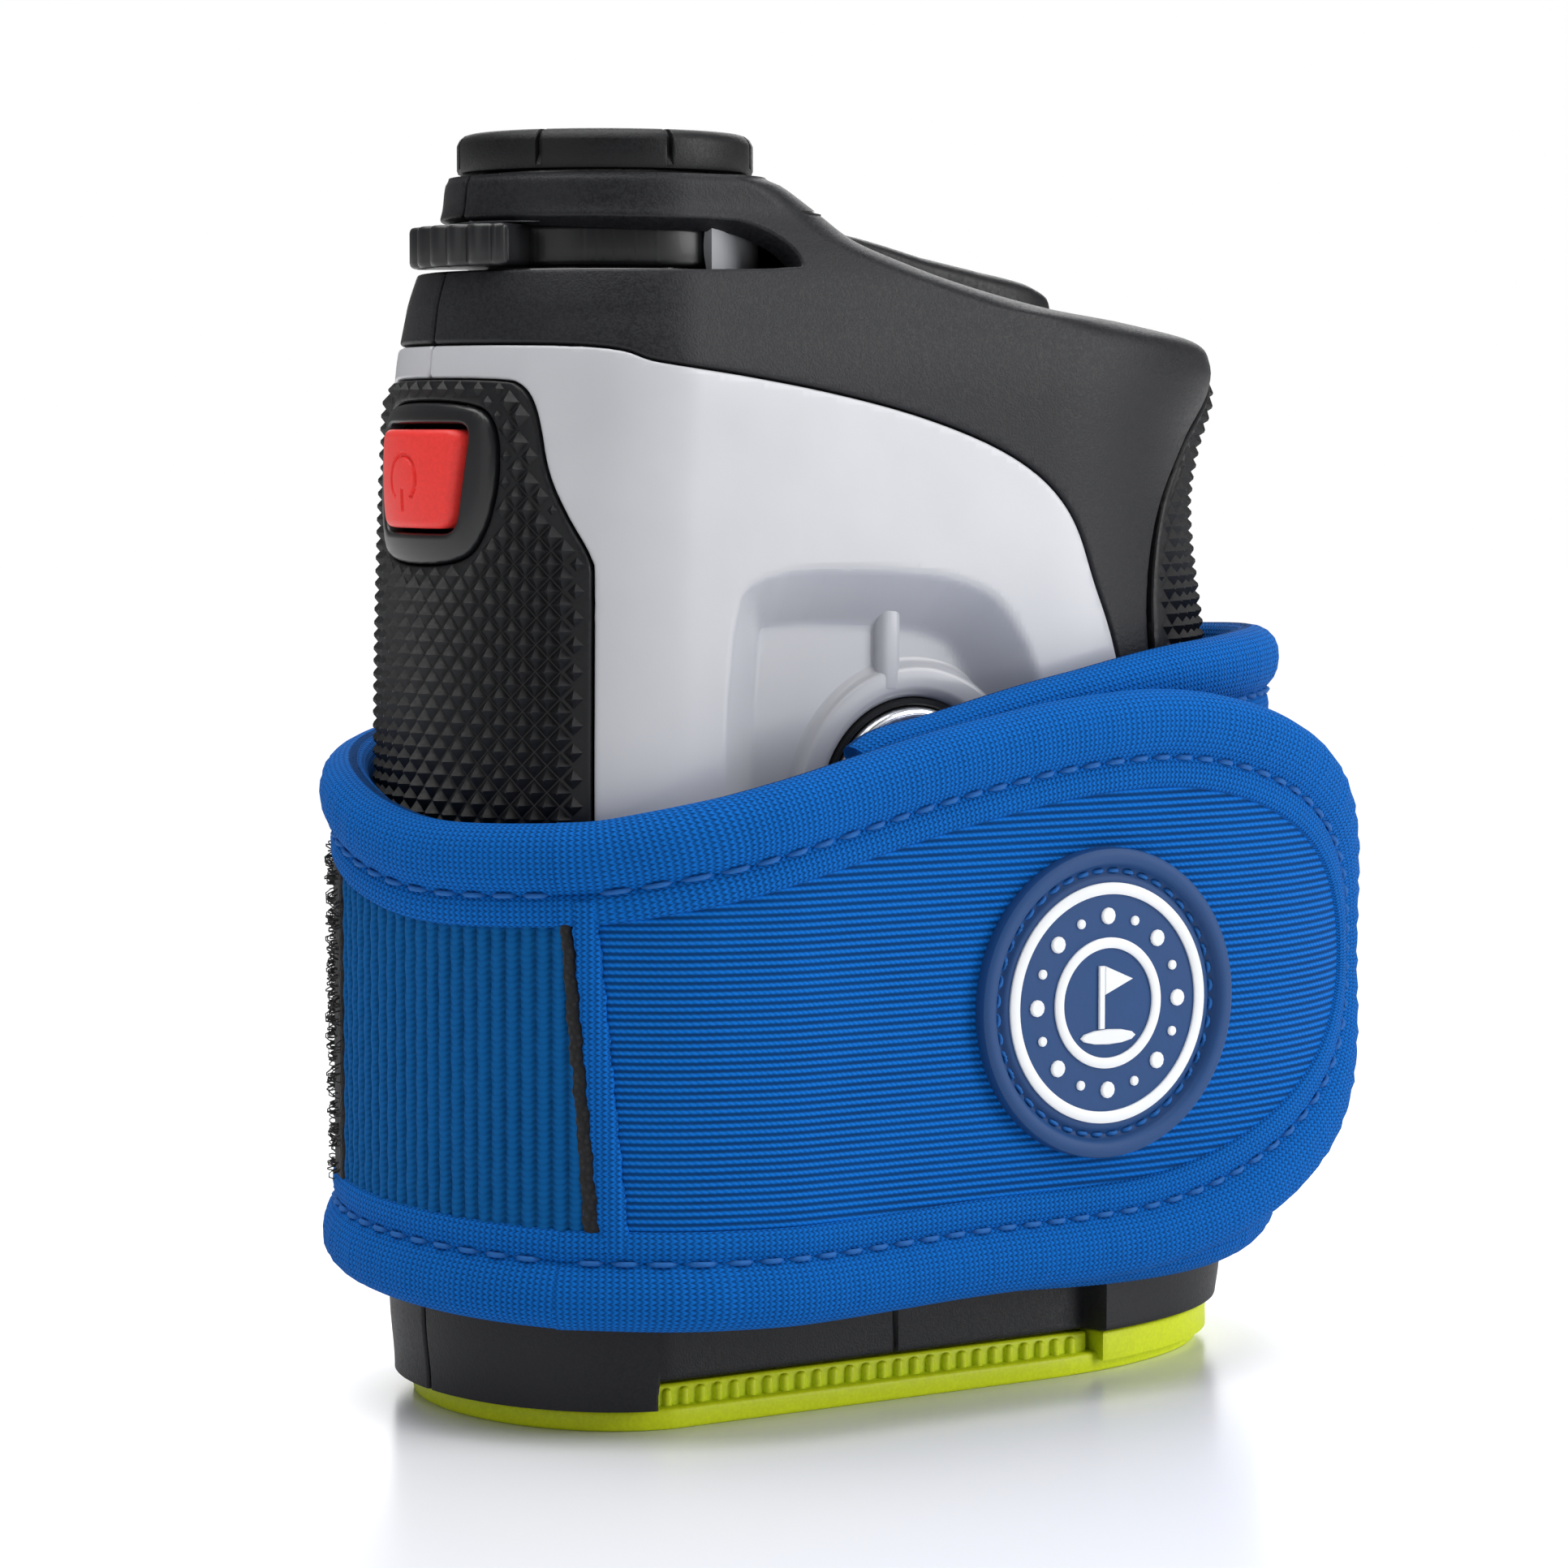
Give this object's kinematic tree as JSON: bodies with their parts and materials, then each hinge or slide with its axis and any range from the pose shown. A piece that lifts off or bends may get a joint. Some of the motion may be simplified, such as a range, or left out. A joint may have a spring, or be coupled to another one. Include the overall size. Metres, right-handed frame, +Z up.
{
  "type": "laser rangefinder with strap",
  "caption": "Handheld laser rangefinder monocular standing on its front bezel, with a fire button, twist eyepiece, battery cap and a soft hook-and-loop magnetic strap wrapped round it.",
  "frame": {"origin": "on the floor under the front bezel, between the two front openings, in the body's middle plane", "axes": "+Z up, from the front bezel to the eyepiece; -X towards the fire button; +X towards the finger grip; -Y towards the battery cap and the strap's patch"},
  "size_m": [0.0972, 0.0545, 0.108],
  "materials": {
    "black": "fine speckled texture",
    "gloss": "gloss",
    "grey": "satin gloss",
    "rubber": "matt",
    "red": "satin",
    "lime": "satin",
    "glass": "coated",
    "metal": "turned",
    "steel": "plain",
    "board": "solder resist",
    "pale": "matt",
    "blue": "smooth neoprene",
    "elastic": "ribbed webbing",
    "loops": "hook and loop",
    "soft": "soft moulding",
    "white": "matt"
  },
  "bodies": {
    "unit": {"housing_left": "black", "housing_right": "black", "faceplate_left": "grey", "faceplate_right": "grey", "top_grip_pad": "rubber", "finger_grip_pad": "rubber", "button_surround": "black", "rear_spine_cover": "black", "front_bezel": "lime", "housing_screw_1": "steel", "housing_screw_2": "steel", "housing_screw_3": "steel", "housing_screw_4": "steel", "fire_switch": "gloss", "switch_board": "board", "objective_barrel": "black", "objective_lens": "glass", "prism_housing": "black", "roof_prism": "glass", "display_panel": "glass", "receiver_diode": "steel", "eyepiece_tube": "gloss", "lever_washer": "pale", "laser_barrel": "black", "laser_lens": "glass", "laser_diode": "steel", "laser_board": "board", "main_board": "board", "battery_tube": "black", "battery_cell": "steel", "battery_contact": "steel", "cap_seal": "rubber", "strap_band": "blue", "strap_loop_panel": "loops", "strap_elastic": "elastic", "band_binding_top": "blue", "band_binding_bottom": "blue", "strap_magnet_1": "steel", "strap_magnet_2": "steel"},
    "button": {"fire_button": "red", "switch_plunger": "black"},
    "lever": {"mode_lever": "black"},
    "eye_ring": {"eyecup": "black"},
    "eye_cell": {"eyepiece_cell": "gloss", "eye_lens": "glass", "field_lens": "glass"},
    "cap": {"battery_cap": "metal"},
    "tab": {"strap_tab": "blue", "tab_hook_tape": "loops", "tab_binding": "blue", "strap_patch": "soft", "patch_ring": "white", "patch_inner_ring": "white"}
  },
  "joints": [
    {"name": "fire_button_press", "type": "slide", "parent": "unit", "child": "button", "axis": [1, 0, 0], "range_m": [0, 0.0008], "stiffness_N_per_m": 2000, "springref_m": -0.0006},
    {"name": "mode_lever_turn", "type": "hinge", "parent": "unit", "child": "lever", "pos_m": [-0.0183, 0, 0.0984], "axis": [0, 0, 1], "range_deg": [-70, 70]},
    {"name": "eyecup_turn", "type": "hinge", "parent": "unit", "child": "eye_ring", "pos_m": [-0.0183, 0, 0.106], "axis": [0, 0, 1], "range_deg": [-150, 150]},
    {"name": "eyepiece_focus", "type": "slide", "parent": "unit", "child": "eye_cell", "axis": [0, 0, 1], "range_m": [-0.00094, 0.00094]},
    {"name": "battery_cap_twist", "type": "hinge", "parent": "unit", "child": "cap", "pos_m": [0.0027, -0.0154, 0.051], "axis": [0, -1, 0], "range_deg": [0, 90]},
    {"name": "strap_tab_peel", "type": "hinge", "parent": "unit", "child": "tab", "pos_m": [-0.03456, -0.01906, 0.035], "axis": [0, 0, 1], "range_deg": [-100, 0]}
  ],
  "couplings": [
    {"joint": "eyecup_turn", "follows": "eyepiece_focus", "rad_per_m": 2780}
  ]
}
